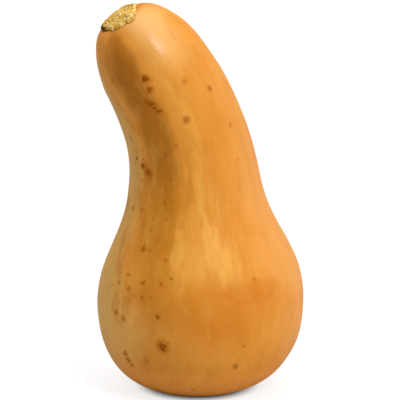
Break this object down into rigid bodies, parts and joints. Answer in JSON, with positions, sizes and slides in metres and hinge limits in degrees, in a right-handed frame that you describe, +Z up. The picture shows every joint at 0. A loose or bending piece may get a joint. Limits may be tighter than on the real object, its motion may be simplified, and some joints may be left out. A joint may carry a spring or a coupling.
{
  "type": "butternut squash",
  "caption": "Whole butternut squash with a round bulb, a neck that bends to one side and a corky stem scar, standing on its blossom end.",
  "frame": {"origin": "middle of the flat foot that the squash stands on, at its blossom end", "axes": "+Z up from the foot towards the neck; the neck bends towards -X and slightly towards -Y; +X is away from the bend"},
  "size_m": [0.1166, 0.1166, 0.217],
  "materials": {
    "skin": "smooth waxy rind with a satin sheen, tan orange with paler streaks along the fruit and small brown blemishes",
    "cork": "rough dry cork, straw coloured with pale flecks, dark pits and a brown broken edge"
  },
  "bodies": {
    "root": {"squash_fruit": "skin", "stem_scar": "cork"}
  },
  "joints": []
}
